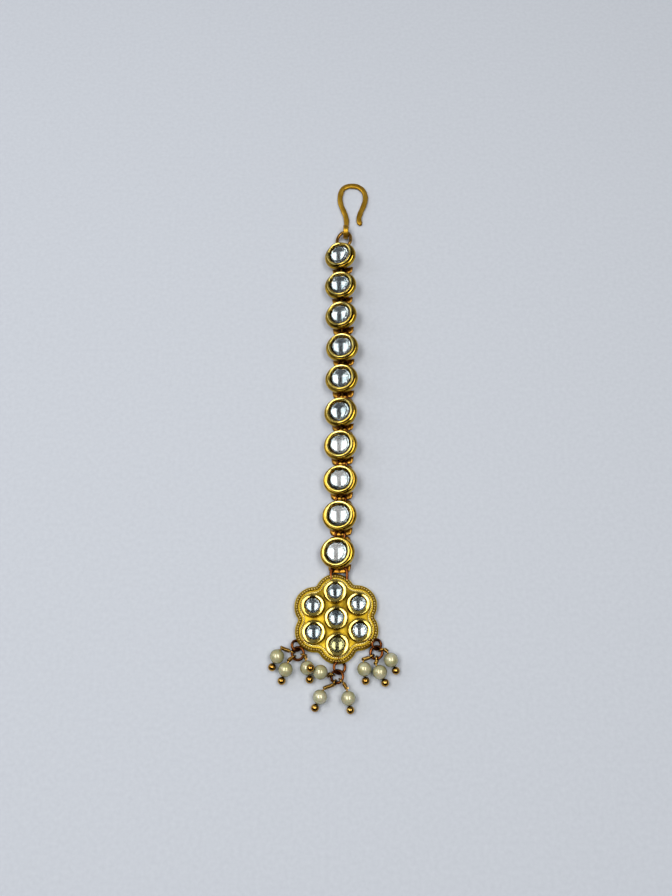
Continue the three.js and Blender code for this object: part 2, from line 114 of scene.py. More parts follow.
# The room round the table is dark on the viewer's side and pale grey beyond the hook.
room = bpy.data.worlds.new("room")
room.use_nodes = True
bpy.context.scene.world = room
tree = room.node_tree
tree.nodes.clear()
towards = node(tree, "ShaderNodeTexCoord").outputs["Generated"]
northward = node(tree, "ShaderNodeSeparateXYZ", Vector=towards).outputs["Y"]
northness = node(tree, "ShaderNodeMapRange", {"From Min": -1.0, "From Max": 1.0}, Value=northward)
wall = node(tree, "ShaderNodeValToRGB", Fac=northness.outputs[0])
wall.color_ramp.elements[0].color = rgb("#15100c")
wall.color_ramp.elements[1].color = rgb("#b4b6bc")
wall_middle = wall.color_ramp.elements.new(0.45)
wall_middle.color = rgb("#2e2925")
sky = node(tree, "ShaderNodeBackground", {"Strength": 0.5}, Color=wall.outputs["Color"])
node(tree, "ShaderNodeOutputWorld", Surface=sky.outputs[0])

lit_middle = flower_middle + Vector((0, 0.03, 0))


def window(name, sideways, along, distance, size, power, colour):
    """A soft window light; its direction is given in degrees off the vertical."""
    data = bpy.data.lights.new(name, "AREA")
    data.shape = "RECTANGLE"
    data.size, data.size_y = size
    data.energy = power
    data.color = rgb(colour)[:3]
    light = bpy.data.objects.new(name, data)
    bpy.context.scene.collection.objects.link(light)
    direction = Vector((math.tan(math.radians(sideways)), math.tan(math.radians(along)), 1)).normalized()
    across = Vector((0, 1, 0)).cross(direction).normalized()
    turn = Matrix((across, direction.cross(across), direction)).transposed()
    light.matrix_world = Matrix.Translation(lit_middle + direction * distance) @ turn.to_4x4()


window("window_left", -22, -1, 0.75, (0.26, 0.60), 2.95, "#fffcf8")
window("window_right", 19, -1, 0.75, (0.24, 0.60), 2.35, "#fffcf8")
window("window_behind", -58, 30, 0.9, (0.5, 0.5), 1.3, "#f4f6ff")


# Links
# Ten stamped brass cups, gold plated. Each is an oval drum with a rounded shoulder on a small
# foot, with a round bezel collar spun up on top. Two wire eyes are soldered to it, each over a
# tongue of solder that has run out between the links. Sizes are in mm from here on.
MM = 0.001
link_count = 10
drum_width, drum_length, drum_height, drum_wall = 9.5, 8.8, 4.2, 1.55
foot_radius, foot_flare, foot_top = 2.3, 0.35, 1.95
collar_radius, collar_top, collar_wall = 3.8, 5.05, 0.5
pocket_radius, pocket_lip, pocket_floor = 2.78, 4.45, 3.44
eye_wire, eye_hole, eye_reach, eye_height = 0.5, 1.25, 3.65, 1.45


def rounded(corners, steps=4):
    """Round a profile's corners: each is (radius, height, rounding) in mm."""
    points = []
    for i, corner in enumerate(corners):
        here = np.array(corner[:2], float)
        size = corner[2] if len(corner) > 2 else 0
        if not size or i in (0, len(corners) - 1):
            points.append(here)
            continue
        before = np.array(corners[i - 1][:2], float) - here
        after = np.array(corners[i + 1][:2], float) - here
        first = here + before / np.linalg.norm(before) * min(size, np.linalg.norm(before) * 0.48)
        last = here + after / np.linalg.norm(after) * min(size, np.linalg.norm(after) * 0.48)
        for t in np.linspace(0, 1, steps + 1):
            points.append((1 - t) ** 2 * first + 2 * t * (1 - t) * here + t ** 2 * last)
    return points


def turned(profile, sides=48, across=1.0):
    """Vertices and faces of a turned form in mm, from a profile that starts and ends on the axis."""
    verts, faces, rows = [], [], []
    for radius, height in profile:
        if radius < 1e-6:
            rows.append([len(verts)] * sides)
            verts.append((0, 0, height))
        else:
            rows.append(list(range(len(verts), len(verts) + sides)))
            for k in range(sides):
                a = 2 * math.pi * k / sides
                verts.append((radius * across * math.cos(a), radius * math.sin(a), height))
    for low, high in zip(rows, rows[1:]):
        for k in range(sides):
            face = [low[k], low[(k + 1) % sides], high[(k + 1) % sides], high[k]]
            face = list(dict.fromkeys(face))
            if len(face) > 2:
                faces.append(face)
    return np.array(verts, float), faces


def swept(path, section, closed=False):
    """A section swept along a path in mm, carried along without twisting."""
    path = np.array(path, float)
    count = len(path)
    if closed:
        tangents = np.roll(path, -1, 0) - np.roll(path, 1, 0)
    else:
        tangents = np.gradient(path, axis=0)
    tangents /= np.linalg.norm(tangents, axis=1)[:, None]
    side = np.cross((0.3, 0.2, 1.0), tangents[0])
    if np.linalg.norm(side) < 1e-3:
        side = np.cross((1, 0, 0), tangents[0])
    verts = []
    for i in range(count):
        side = side - tangents[i] * np.dot(side, tangents[i])
        side /= np.linalg.norm(side)
        up = np.cross(tangents[i], side)
        verts += [path[i] + side * u + up * v for u, v in section]
    n = len(section)
    faces = []
    for i in range(count if closed else count - 1):
        j = (i + 1) % count
        faces += [[i * n + k, i * n + (k + 1) % n, j * n + (k + 1) % n, j * n + k] for k in range(n)]
    if not closed:
        faces += [list(range(n))[::-1], list(range((count - 1) * n, count * n))]
    return np.array(verts, float), faces


def round_wire(radius, sides=12):
    """The section of a round wire."""
    angles = [2 * math.pi * k / sides for k in range(sides)]
    return [(radius * math.cos(a), radius * math.sin(a)) for a in angles]


def wire_ring(centre_radius, wire, steps=40, sides=12, length=None):
    """A closed wire ring lying flat; length stretches it along Y."""
    path = [(centre_radius * math.cos(a), (length or centre_radius) * math.sin(a), 0)
            for a in np.linspace(0, 2 * math.pi, steps, endpoint=False)]
    return swept(path, round_wire(wire / 2, sides), closed=True)


def moved(form, matrix):
    """A form with each vertex passed through a 4x4 matrix."""
    verts, faces = form
    m = np.array(matrix)
    return verts @ m[:3, :3].T + m[:3, 3], faces


def crafted(name, forms, finishes, stands_for, sharp=38):
    """Join forms, each with the number of its finish, into one piece that rides the root body."""
    verts, faces, marks = [], [], []
    start = 0
    for (points, polygons), mark in forms:
        verts.append(points)
        faces += [[v + start for v in polygon] for polygon in polygons]
        marks += [mark] * len(polygons)
        start += len(points)
    mesh = bpy.data.meshes.new(name)
    mesh.from_pydata((np.concatenate(verts) * MM).tolist(), [], faces)
    for finish in finishes:
        mesh.materials.append(finish)
    mesh.polygons.foreach_set("material_index", marks)
    mesh.validate()
    mesh.update()
    mesh.shade_smooth()
    mesh.set_sharp_from_angle(angle=math.radians(sharp))
    piece = bpy.data.objects.new(name, mesh)
    bpy.context.scene.collection.objects.link(piece)
    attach(piece, "root")
    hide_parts(*stands_for)


def placed(name):
    """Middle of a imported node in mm, and the direction in which its points spread least."""
    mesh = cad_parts[name].data
    points = np.empty(len(mesh.vertices) * 3)
    mesh.vertices.foreach_get("co", points)
    points = np.unique(np.round(points.reshape(-1, 3) / MM, 3), axis=0)
    middle = points.mean(0)
    axis = np.linalg.eigh(np.cov((points - middle).T))[1][:, 0]
    return middle, axis if axis[2] > 0 else -axis


def gilded(name, bright, mid, dark, roughness, grain_mm, wear=0.5, grime_and_shade_mm=1.3):
    """Electroplated gold on brass: yellow where it is rubbed, darker in hollows, where grime stays and shade
    is painted.
    """
    made, tree, shader, place = material(name)
    shader.inputs["Metallic"].default_value = 1
    broad = {"Scale": 1 / (grain_mm * 6 * MM), "Detail": 4.0}
    cloud = node(tree, "ShaderNodeTexNoise", broad, Vector=place)
    fine = {"Scale": 1 / (grain_mm * MM), "Detail": 5.0, "Roughness": 0.65}
    grain = node(tree, "ShaderNodeTexNoise", fine, Vector=place)
    tone = node(tree, "ShaderNodeValToRGB", Fac=cloud.outputs["Fac"])
    tone.color_ramp.elements[0].position = 0.3
    tone.color_ramp.elements[0].color = rgb(mid)
    tone.color_ramp.elements[1].position = 0.72
    tone.color_ramp.elements[1].color = rgb(bright)
    # An AO mask darkens hollows towards the dark colour: grime in part, painted shade in part.
    hollow = node(tree, "ShaderNodeAmbientOcclusion", {"samples": 8, "Distance": grime_and_shade_mm * MM})
    grime_and_shade_mask = node(tree, "ShaderNodeValToRGB", Fac=hollow.outputs["AO"])
    grime_and_shade_mask.color_ramp.elements[0].position = 0.42
    grime_and_shade_mask.color_ramp.elements[0].color = (0, 0, 0, 1)
    grime_and_shade_mask.color_ramp.elements[1].position = 0.92
    grime_and_shade_mask.color_ramp.elements[1].color = (1, 1, 1, 1)
    grime_and_painted_shade = node(tree, "ShaderNodeMix", {"data_type": "RGBA"})
    grime_and_painted_shade.inputs[6].default_value = rgb(dark)
    tree.links.new(grime_and_shade_mask.outputs["Color"], grime_and_painted_shade.inputs[0])
    tree.links.new(tone.outputs["Color"], grime_and_painted_shade.inputs[7])
    tree.links.new(grime_and_painted_shade.outputs[2], shader.inputs["Base Color"])
    spread = {"From Min": 0.3, "From Max": 0.75, "To Min": roughness * 0.75, "To Max": roughness * 1.35}
    dull = node(tree, "ShaderNodeMapRange", spread, Value=grain.outputs["Fac"])
    tree.links.new(dull.outputs[0], shader.inputs["Roughness"])
    scuffs = {"Strength": 0.35 * wear, "Distance": 0.03 * MM}
    relief = node(tree, "ShaderNodeBump", scuffs, Height=grain.outputs["Fac"])
    tree.links.new(relief.outputs[0], shader.inputs["Normal"])
    return made


# Polished plate on stamped brass: a mirror skin with brown lacquer grime and painted shade in the corners.
# The collar's rim is rubbed to a pale yellow. Solder keeps a duller skin and lets copper tint it.
cup_gold = gilded("gold_plated_brass_polished", "#dcb742", "#9a781e", "#2a1203", 0.15, 0.35, grime_and_shade_mm=2.4)
rim_gold = gilded("gold_plated_brass_rubbed_rim", "#f8e68c", "#dfbe4e", "#5a340c", 0.14, 0.3)
solder_gold = gilded("solder_under_thin_plate", "#bd8c34", "#80561a", "#351606", 0.28, 0.3, 1.2, 0.5)

drum_end, drum_base, collar_inside = drum_length / 2, drum_height - drum_wall, collar_radius - 0.3
pocket_bottom = pocket_floor + 0.2
drum_profile = rounded([
    (0, 0), (foot_radius * 0.6, 0, 0.2), (foot_radius, foot_flare, 0.2), (foot_radius, foot_top, 0.2),
    (drum_end - 0.25, drum_base, 0.2), (drum_end, drum_base + 0.25, 0.25),
    (drum_end, drum_height - 0.75, 0.3), (drum_end - 0.2, drum_height - 0.2, 0.3),
    (collar_radius + 0.05, drum_height, 0.05), (collar_inside, drum_height, 0),
    (collar_inside, pocket_floor - 0.3, 0), (0, pocket_floor - 0.3)])
collar_profile = rounded([
    (0, pocket_floor - 0.2), (collar_inside + 0.05, pocket_floor - 0.2, 0.1),
    (collar_inside, drum_height + 0.1, 0.05), (collar_radius - 0.1, collar_top - 0.34, 0.12),
    (collar_radius - 0.02, collar_top - 0.16, 0.1), (collar_radius - 0.16, collar_top, 0.14),
    (collar_radius - collar_wall - 0.04, collar_top - 0.06, 0.14),
    (pocket_radius + 0.2, pocket_lip + 0.03, 0.16), (pocket_radius + 0.02, pocket_lip - 0.2, 0.08),
    (pocket_radius - 0.07, pocket_lip - 0.35, 0.05), (pocket_radius - 0.1, pocket_bottom, 0),
    (0, pocket_bottom)], 5)

# A packed stone's points lie round its back, its girdle and its table and at both middles, so
# their mean height over its back is known.
stone_height, stone_girdle, stone_sides, stone_lift = 0.95, 0.35, 10, 0.16
stone_mean = stone_height * (stone_sides * (stone_girdle + 1) + 1) / (3 * stone_sides + 2)


def link_frame(index):
    """The matrix of a link, from where its stone lies: origin at the eyes, Z out of its face."""
    middle, axis = placed(f"link_stone_{index}")
    side = np.cross((0, 1, 0), axis)
    side /= np.linalg.norm(side)
    m = np.eye(4)
    m[:3, 0], m[:3, 1], m[:3, 2] = side, np.cross(axis, side), axis
    m[:3, 3] = middle - axis * (pocket_floor + stone_lift + stone_mean - eye_height)
    return m


link_frames = [link_frame(i + 1) for i in range(link_count)]

tongue_half, tongue_low, tongue_high, tongue_root = 2.85, 0.6, 1.05, 1.6
tongue_outline = [(-1.0, 0), (-1.0, 0.55), (-0.94, 0.82), (-0.8, 0.96), (-0.4, 1),
                  (0.4, 1), (0.8, 0.96), (0.94, 0.82), (1.0, 0.55), (1.0, 0)]
tongue_gap, tongue_at_hook, tongue_at_flower = 0.06, 0.15, 0.7


def tongue(reach, end):
    """A flooded tongue of solder under a cup's eye: domed, with rounded corners."""
    start = drum_length / 2 - tongue_root
    outline = []
    for u, v in tongue_outline:
        outline.append((u * tongue_half * (1.12 - 0.12 * v), end * (start + v * (reach - start))))
    middle = end * (start + 0.45 * (reach - start))
    levels = [(1.0, tongue_low), (1.0, tongue_high - 0.25), (0.93, tongue_high - 0.08), (0.8, tongue_high)]
    verts = [(x * share, middle + (y - middle) * share, z) for share, z in levels for x, y in outline]
    n = len(outline)
    faces = []
    for i in range(len(levels) - 1):
        low, high = i * n, (i + 1) * n
        faces += [[low + k, low + (k + 1) % n, high + (k + 1) % n, high + k][::-end] for k in range(n)]
    top = (len(levels) - 1) * n
    faces += [list(range(n))[::end], list(range(top, top + n))[::-end]]
    return np.array(verts, float), faces


eye_radius = (eye_hole + eye_wire) / 2
for index, spot in enumerate(link_frames):
    to_row = Matrix(spot.tolist()) @ Matrix.Translation((0, 0, -eye_height))
    eyes = []
    for end in (-1, 1):
        upright = Matrix.Rotation(math.pi / 2, 4, "Y")
        stand = to_row @ Matrix.Translation((0, end * eye_reach, eye_height)) @ upright
        eyes.append((moved(wire_ring(eye_radius, eye_wire, 28, 10), stand), 2))
        beside = index - end
        reach = drum_length / 2 + (tongue_at_flower if end < 0 else tongue_at_hook)
        if 0 <= beside < link_count:
            reach = np.linalg.norm(link_frames[beside][:3, 3] - spot[:3, 3]) / 2 - tongue_gap
        eyes.append((moved(tongue(reach, end), to_row), 2))
    drum = moved(turned(drum_profile, 56, drum_width / drum_length), to_row)
    collar = moved(turned(collar_profile, 56), to_row)
    crafted(f"link_cup_{index + 1}", [(drum, 0), (collar, 1), *eyes], [cup_gold, rim_gold, solder_gold],
            stands_for=(f"link_setting_{index + 1}",))


# Crystals of the links
# Round cut crystals, 5.4 mm, pressed into the collars. Each has a table, crown facets and a
# slightly domed mirror foil that lies a little tilted under its glass, and the foil gives back
# the two windows in bright patches.
foil_share, foil_dome, foil_height, foil_edge = 0.94, math.radians(12), 0.42, 0.04
girdle_share, table_share, crown_share, back_share = 0.5, 0.84, 0.6, 0.95


def cut_crystal(radius, height, foil_lean, foil_back, sides=12):
    """A cut stone in mm: its closed clear body, and the foil inside it."""
    girdle, table, back = height * girdle_share, radius * table_share, radius * back_share
    crown_height = girdle + (height - girdle) * crown_share
    rings = [(back, 0.0, 0.5), (radius, girdle, 0.5), (back, crown_height, 0), (table, height, 0.5)]
    verts = []
    for ring_radius, z, turn in rings:
        for k in range(sides):
            a = 2 * math.pi * (k + turn) / sides
            verts.append((ring_radius * math.cos(a), ring_radius * math.sin(a), z))
    clear = [list(range(sides))[::-1], [3 * sides + k for k in range(sides)]]
    for k in range(sides):
        n = (k + 1) % sides
        wide, crown, top = sides, 2 * sides, 3 * sides
        clear += [[k, n, wide + n, wide + k]]
        clear += [[wide + k, crown + n, crown + k], [wide + k, wide + n, crown + n]]
        clear += [[crown + k, crown + n, top + k], [crown + n, top + n, top + k]]
    foil_radius = radius * foil_share
    bulge = foil_radius / math.sin(foil_dome)
    dome = []
    for t in np.linspace(1, 0, 12):
        dome.append((foil_radius * t, math.sqrt(bulge ** 2 - (foil_radius * t) ** 2) - bulge))
    low = dome[0][1] - foil_edge
    lie = (Matrix.Translation((0, 0, height * foil_height)) @ Matrix.Rotation(foil_lean, 4, "Y")
           @ Matrix.Rotation(-foil_back, 4, "X"))
    return (np.array(verts, float), clear), moved(turned([(0, low), (foil_radius, low), *dome], 40), lie)


def crystal_glass(name, tint):
    """Clear lead glass: refracts, with a faint tint and tiny polishing ripples."""
    made, tree, shader, place = material(name)
    shader.inputs["Base Color"].default_value = rgb(tint)
    shader.inputs["Transmission Weight"].default_value = 1
    shader.inputs["IOR"].default_value = 1.56
    smear = node(tree, "ShaderNodeTexNoise", {"Scale": 700.0, "Detail": 3.0}, Vector=place)
    polish = {"From Min": 0.4, "From Max": 0.8, "To Min": 0.01, "To Max": 0.09}
    haze = node(tree, "ShaderNodeMapRange", polish, Value=smear.outputs["Fac"])
    tree.links.new(haze.outputs[0], shader.inputs["Roughness"])
    return made


# Tin foil under lacquer: grey-green where it has aged, bright where it is whole.
mirror_foil, tree, shader, place = material("mirror_foil_aged")
shader.inputs["Metallic"].default_value = 0.8
shader.inputs["Roughness"].default_value = 0.13
patch = node(tree, "ShaderNodeTexNoise", {"Scale": 260.0, "Detail": 2.0}, Vector=place)
aged = node(tree, "ShaderNodeValToRGB", Fac=patch.outputs["Fac"])
aged.color_ramp.elements[0].position = 0.35
aged.color_ramp.elements[0].color = rgb("#909ba4")
aged.color_ramp.elements[1].position = 0.65
aged.color_ramp.elements[1].color = rgb("#bcc4cb")
tree.links.new(aged.outputs["Color"], shader.inputs["Base Color"])

# Polished lead glass bends the light into clear bands. The lowest stone's lacquer has yellowed,
# which turns it olive.
lead_glass = crystal_glass("lead_glass_polished", "#eef4f1")
yellowed_glass = crystal_glass("lead_glass_over_yellowed_lacquer", "#d9cf8e")
link_stone_radius, link_stone_height, link_stone_seat = 2.72, 1.05, pocket_floor + 0.28
refraction_share, first_tilt, tilt_step, facet_step = 0.64, -8, 0.7, 11
for index, spot in enumerate(link_frames):
    lean = math.atan2(-spot[0, 2], spot[2, 2])
    tilt_back = math.radians(first_tilt + tilt_step * index)
    clear, foil = cut_crystal(link_stone_radius, link_stone_height, lean * refraction_share, tilt_back)
    facet_turn = Matrix.Rotation(math.radians(facet_step * index), 4, "Z")
    seat = Matrix(spot.tolist()) @ Matrix.Translation((0, 0, link_stone_seat - eye_height))
    crafted(f"link_crystal_{index + 1}", [(moved(clear, seat @ facet_turn), 0), (moved(foil, seat), 1)],
            [lead_glass, mirror_foil], sharp=9, stands_for=(f"link_stone_{index + 1}",))


# Jump rings of the chain
# Open rings of half-hard brass wire, closed with pliers between the eyes of neighbouring links.
# Their plate is thin and reddish, because it was put on over copper.
ring_gold = gilded("red_gold_plated_wire", "#9c5c2c", "#55280e", "#120401", 0.15, 0.3, 0.7)


def aligned(middle, axis, along=(0, 1, 0)):
    """A matrix with Z on the axis and Y as near as it can be to a direction."""
    side = np.cross(along, axis)
    side /= np.linalg.norm(side)
    m = np.eye(4)
    m[:3, 0], m[:3, 1], m[:3, 2], m[:3, 3] = side, np.cross(axis, side), axis, middle
    return Matrix(m.tolist())


link_ring_radius, link_ring_wire = 1.34, 0.62
for index in range(link_count - 1):
    middle, axis = placed(f"link_ring_{index + 1}")
    ring = moved(wire_ring(link_ring_radius, link_ring_wire), aligned(middle, axis))
    crafted(f"link_jump_{index + 1}", [(ring, 0)], [ring_gold],
            stands_for=(f"link_ring_{index + 1}",))


# Hair hook and its ring
# A question-mark hook bent from brass wire and hammered flat, with a rolled eye at its foot. The
# hair is parted over its bow. The plate is duller than the links', rubbed olive by wear.
hook_gold = gilded("dull_gold_plated_flat_wire", "#dcae3c", "#a87e20", "#4a3210", 0.4, 0.5, 1.0)
eye_gold = gilded("gold_plated_heavy_wire", "#d9ac52", "#8a5a1e", "#1a0902", 0.15, 0.3, 0.6)
hook_ring_lean, hook_ring_wire = math.radians(12), 1.0
hook_ring_half_width, hook_ring_half_length = 2.05, 2.7
hook_ring_way = np.array([math.sin(hook_ring_lean), math.cos(hook_ring_lean), 0])
hook_middle, hook_axis = placed("hook_ring")
hook_ring = wire_ring(hook_ring_half_width, hook_ring_wire, 56, 12, hook_ring_half_length)
hook_ring = moved(hook_ring, aligned(hook_middle, hook_axis, hook_ring_way))
crafted("hook_jump_ring", [(hook_ring, 0)], [eye_gold], stands_for=("hook_ring",))

hook_width, hook_thickness, hook_eye_radius = 1.6, 1.0, 1.6
hook_span, hook_reach, hook_from_ring = 7.8, 17.42, 2.84
hook_foot = hook_middle + hook_ring_way * hook_from_ring
hook_foot[2] = hook_eye_radius + hook_thickness / 2
# The bow's route in shares of the hook's span and reach, from the eye round to the tip.
hook_route = [
    (0.00, 0.06), (0.02, 0.16), (0.03, 0.28), (-0.02, 0.40), (-0.10, 0.50), (-0.18, 0.60), (-0.22, 0.72),
    (-0.19, 0.84), (-0.11, 0.93), (0.05, 0.985), (0.27, 1.0), (0.49, 0.98), (0.66, 0.92), (0.76, 0.83),
    (0.78, 0.72), (0.72, 0.60), (0.63, 0.50), (0.56, 0.41), (0.52, 0.32), (0.55, 0.23), (0.59, 0.19)]


def smooth_path(points, each=6):
    """A centripetal curve through the points."""
    points = np.array(points, float)
    padded = np.vstack([2 * points[0] - points[1], points, 2 * points[-1] - points[-2]])
    path = []
    for p0, p1, p2, p3 in zip(padded, padded[1:], padded[2:], padded[3:]):
        t1 = np.linalg.norm(p1 - p0) ** 0.5
        t2 = t1 + np.linalg.norm(p2 - p1) ** 0.5
        t3 = t2 + np.linalg.norm(p3 - p2) ** 0.5
        for t in np.linspace(t1, t2, each, endpoint=False):
            a1 = (t1 - t) / t1 * p0 + t / t1 * p1
            a2 = (t2 - t) / (t2 - t1) * p1 + (t - t1) / (t2 - t1) * p2
            a3 = (t3 - t) / (t3 - t2) * p2 + (t - t2) / (t3 - t2) * p3
            b1 = (t2 - t) / t2 * a1 + t / t2 * a2
            b2 = (t3 - t) / (t3 - t1) * a2 + (t - t1) / (t3 - t1) * a3
            path.append((t2 - t) / (t2 - t1) * b1 + (t - t1) / (t2 - t1) * b2)
    path.append(points[-1])
    return np.array(path)


def flat_section(width, thickness, sides=20, square=3.2):
    """A flattened round: a superellipse."""
    shape = []
    for k in range(sides):
        a = 2 * math.pi * k / sides
        across, up = (math.copysign(abs(s) ** (2 / square), s) for s in (math.cos(a), math.sin(a)))
        shape.append((width / 2 * across, thickness / 2 * up))
    return shape


eye_turn = np.radians(np.linspace(-20, 270, 26))
eye_path = [(0, hook_eye_radius * math.cos(a), hook_eye_radius * math.sin(a)) for a in eye_turn]
bow_path = [(u * hook_span, v * hook_reach, -hook_eye_radius) for u, v in hook_route]
hook_path = np.vstack([eye_path, smooth_path([eye_path[-1], *bow_path])[3:]]) + hook_foot
tip_share, eye_end_share = 0.94, 0.02


def hook_section(share):
    """The wire's section along the hook: round at both tips, hammer facets along the bow."""
    size = 1.0
    if share > tip_share:
        size = min(1.0, math.sqrt(max(0.02, 1 - ((share - tip_share) / (1 - tip_share)) ** 2)))
    if share < eye_end_share:
        size = min(1.0, math.sqrt(max(0.02, 1 - (1 - share / eye_end_share) ** 2)))
    hammer = 1 + 0.03 * math.sin(share * 95) + 0.02 * math.sin(share * 41 + 1)
    thickness = hook_thickness * (0.98 if share > 0.3 else 1)
    return [(u * hammer * size, v * size) for u, v in flat_section(hook_width, thickness)]


def swept_flat(path, section):
    """Sweep flat wire whose section changes; its broad side starts level and doesn't twist."""
    path = np.array(path, float)
    tangents = np.gradient(path, axis=0)
    tangents /= np.linalg.norm(tangents, axis=1)[:, None]
    side = np.array((1.0, 0.0, 0.0))
    verts = []
    for i, (point, tangent) in enumerate(zip(path, tangents)):
        side = side - tangent * np.dot(side, tangent)
        side /= np.linalg.norm(side)
        up = np.cross(tangent, side)
        verts += [point + side * u + up * v for u, v in section(i / (len(path) - 1))]
    n = len(section(0))
    faces = [[i * n + k, i * n + (k + 1) % n, (i + 1) * n + (k + 1) % n, (i + 1) * n + k]
             for i in range(len(path) - 1) for k in range(n)]
    faces += [list(range(n))[::-1], list(range((len(path) - 1) * n, len(path) * n))]
    return np.array(verts, float), faces


crafted("hook_wire", [(swept_flat(hook_path, hook_section), 0)], [hook_gold], sharp=60,
        stands_for=("hair_hook",))


# Flower pendant
# A six-petalled plate cast in brass, its border grooved and filled with milgrain and twisted wire,
# with seven bezel cups soldered on. Wire loops at its rim carry the chain and the drops. The
# ground is satin gilt, and the bezels' broad tops slope in to their stones.
petal_reach, petal_radius, valley_radius, plate_thickness = 11.8, 5.3, 1.0, 2.0
flower_twist = math.radians(2.3)
bezel_ring, bezel_radius, bezel_top = 6.95, 2.92, 3.25
flower_stone_radius = 1.9
petal_centre = petal_reach - petal_radius
petal_step = math.pi / 3
valley_centre = petal_centre * math.cos(petal_step / 2) + math.sqrt(
    (petal_radius + valley_radius) ** 2 - (petal_centre * math.sin(petal_step / 2)) ** 2)
valley_reach = valley_centre * math.cos(petal_step / 2) - petal_centre
petal_sweep = math.atan2(valley_centre * math.sin(petal_step / 2), valley_reach)
flower_origin = np.array([*flower_middle[:2], 0]) / MM
to_flower = Matrix.Translation(flower_origin.tolist()) @ Matrix.Rotation(flower_twist, 4, "Z")


def flower_outline(inset, each_petal=26, each_valley=7):
    """Points of the flower's outline, drawn in by an inset in mm."""
    points = []
    for petal in range(6):
        axis = math.pi / 2 + petal * petal_step
        for t in np.linspace(-1, 1, each_petal):
            a = axis + petal_sweep * t
            points.append((petal_centre * math.cos(axis) + (petal_radius - inset) * math.cos(a),
                           petal_centre * math.sin(axis) + (petal_radius - inset) * math.sin(a)))
        between = axis + petal_step / 2
        half = petal_step / 2 - petal_sweep
        for t in np.linspace(-1, 1, each_valley)[1:-1]:
            a = between + math.pi + half * t
            points.append((valley_centre * math.cos(between) + (valley_radius + inset) * math.cos(a),
                           valley_centre * math.sin(between) + (valley_radius + inset) * math.sin(a)))
    return points


def terraced(levels):
    """A form whose outline steps in and up: each level is (inset, height) in mm, capped at both ends."""
    rows = [flower_outline(inset) for inset, _ in levels]
    n = len(rows[0])
    verts = [(x, y, z) for row, (_, z) in zip(rows, levels) for x, y in row]
    faces = [[i * n + k, i * n + (k + 1) % n, (i + 1) * n + (k + 1) % n, (i + 1) * n + k]
             for i in range(len(rows) - 1) for k in range(n)]
    verts += [(0, 0, levels[0][1]), (0, 0, levels[-1][1])]
    last = len(verts) - 1
    faces += [[(k + 1) % n, k, last - 1] for k in range(n)]
    top = (len(rows) - 1) * n
    faces += [[top + k, top + (k + 1) % n, last] for k in range(n)]
    return np.array(verts, float), faces


def strip(inset, inner, height):
    """A flat band that follows the flower's outline between two insets."""
    outside, inside = flower_outline(inset), flower_outline(inner)
    n = len(outside)
    verts = [(x, y, height) for x, y in outside + inside]
    return np.array(verts, float), [[k, (k + 1) % n, n + (k + 1) % n, n + k] for k in range(n)]


def evenly(points, spacing):
    """Points spaced evenly along an outline, with the direction of the outline at each."""
    ring = np.array(points + points[:1], float)
    steps = np.linalg.norm(np.diff(ring, axis=0), axis=1)
    total = np.concatenate([[0], np.cumsum(steps)])
    count = max(3, round(total[-1] / spacing))
    at = np.linspace(0, total[-1], count, endpoint=False)
    spots = np.column_stack([np.interp(at, total, ring[:, 0]), np.interp(at, total, ring[:, 1])])
    ahead = np.roll(spots, -1, 0) - np.roll(spots, 1, 0)
    return spots, ahead / np.linalg.norm(ahead, axis=1)[:, None]


def grain(radius, height, sides=8):
    """A half-round grain of metal, as a milgrain wheel leaves it."""
    flank = [(radius * 0.8, height * 0.62), (radius * 0.42, height * 0.92)]
    return turned([(radius, -0.1), (radius, 0), *flank, (0, height)], sides)


# The ground has a satin skin, browned in its valleys by grime and painted shade, the groove is a
# darker, duller band, and the grains are rubbed bright.
satin_gilt = gilded("gold_plated_brass_satin_ground", "#f8d640", "#c8a220", "#341903", 0.34, 0.26, 2.4, 1.7)
# The groove band is a darker, duller gilt than the ground.
groove_dark_band = gilded("gilt_darker_groove_band", "#b08418", "#7a560f", "#2a1503", 0.45, 0.2, 1.5, 0.5)
grain_gilt = gilded("gold_plated_milgrain_rubbed", "#fff2a0", "#ffe070", "#5a3408", 0.34, 0.3, 0.6, 0.25)
flower_finishes = [satin_gilt, cup_gold, rim_gold, ring_gold, grain_gilt, groove_dark_band]
ground, rim_mark, loop_mark, grain_mark, groove_mark = 0, 2, 3, 4, 5

plate_levels = [(0.35, 0), (0.1, 0.12), (0, 0.35)]
border_levels = [(0, -0.45), (0.1, -0.22), (0.22, -0.1), (0.3, -0.05), (0.36, -0.12), (1.02, -0.12),
                 (1.1, 0.02), (1.4, 0.02), (1.44, -0.06), (1.8, -0.06), (1.9, 0)]
plate_levels += [(inset, plate_thickness + height) for inset, height in border_levels]
body = [(terraced(plate_levels), ground)]
for inset, inner, height in ((0.35, 1.03, -0.11), (1.43, 1.81, -0.05)):
    body.append((strip(inset, inner, plate_thickness + height), groove_mark))

grain_inset, grain_pitch, grain_radius, grain_height = 0.69, 0.68, 0.3, 0.46
twist_inset, twist_pitch, twist_wire = 1.6, 0.52, 0.26
for x, y in evenly(flower_outline(grain_inset), grain_pitch)[0]:
    spot = Matrix.Translation((x, y, plate_thickness - 0.1))
    body.append((moved(grain(grain_radius, grain_height), spot), grain_mark))
twist_path = [(-0.2, -0.13, 0), (-0.1, -0.06, 0.05), (0.1, 0.06, 0.05), (0.2, 0.13, 0)]
for (x, y), (dx, dy) in zip(*evenly(flower_outline(twist_inset), twist_pitch)):
    spot = Matrix.Translation((x, y, plate_thickness + 0.02)) @ Matrix.Rotation(math.atan2(dy, dx), 4, "Z")
    body.append((moved(swept(twist_path, round_wire(twist_wire / 2, 6)), spot), grain_mark))

